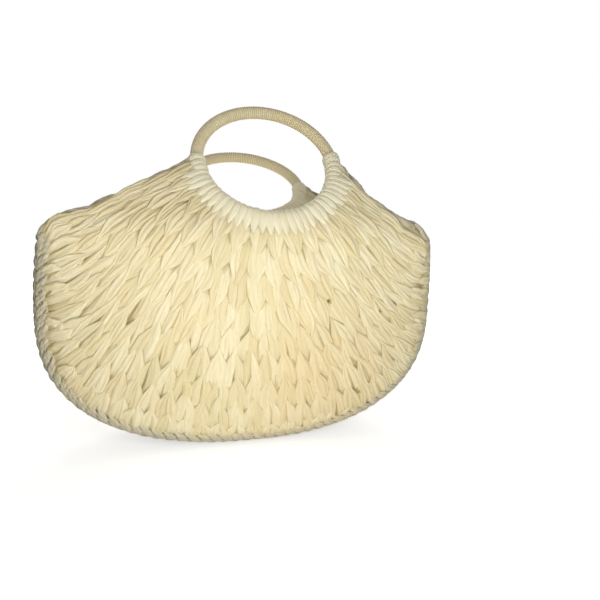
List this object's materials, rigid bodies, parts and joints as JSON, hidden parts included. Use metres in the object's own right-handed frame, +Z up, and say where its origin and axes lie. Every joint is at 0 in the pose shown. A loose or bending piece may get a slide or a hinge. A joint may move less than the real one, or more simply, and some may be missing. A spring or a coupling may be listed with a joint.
{
  "type": "straw half-moon tote bag",
  "caption": "Woven straw tote bag with a half-moon body, side gussets, sloping shoulders and a round cord-wound hoop handle front and back.",
  "frame": {"origin": "middle of the flat patch that the bag stands on", "axes": "+X across the bag to the right as seen from the front, the front faces -Y, +Z up"},
  "size_m": [0.418, 0.2541, 0.3632],
  "materials": {
    "woven_straw": "chunky knitted look of flattened husk strands, satin",
    "gusset_straw": "short knots of husk, satin",
    "collar_straw": "smooth husk bands looped round the hoop",
    "edge_straw": "twisted husk strands along the edge",
    "hoop_cord": "fine tan cord wound side by side",
    "hoop_rod": "bare bent rattan, hidden"
  },
  "bodies": {
    "basket": {"front_body_panel": "woven_straw", "back_body_panel": "woven_straw", "base_gusset": "gusset_straw", "left_gusset": "gusset_straw", "right_gusset": "gusset_straw", "left_ear_rim": "edge_straw", "right_ear_rim": "edge_straw"},
    "front_handle": {"front_hoop": "hoop_rod", "front_cord_winding": "hoop_cord", "front_collar": "collar_straw", "front_shoulder_panel": "woven_straw", "front_left_shoulder_edge": "edge_straw", "front_right_shoulder_edge": "edge_straw"},
    "back_handle": {"back_hoop": "hoop_rod", "back_cord_winding": "hoop_cord", "back_collar": "collar_straw", "back_shoulder_panel": "woven_straw", "back_left_shoulder_edge": "edge_straw", "back_right_shoulder_edge": "edge_straw"}
  },
  "joints": [
    {"name": "front_handle_fold", "type": "hinge", "parent": "basket", "child": "front_handle", "pos_m": [0, -0.048, 0.226], "axis": [1, 0, 0], "range_deg": [0, 97]},
    {"name": "back_handle_fold", "type": "hinge", "parent": "basket", "child": "back_handle", "pos_m": [0, 0.048, 0.226], "axis": [1, 0, 0], "range_deg": [-14, 42]}
  ]
}
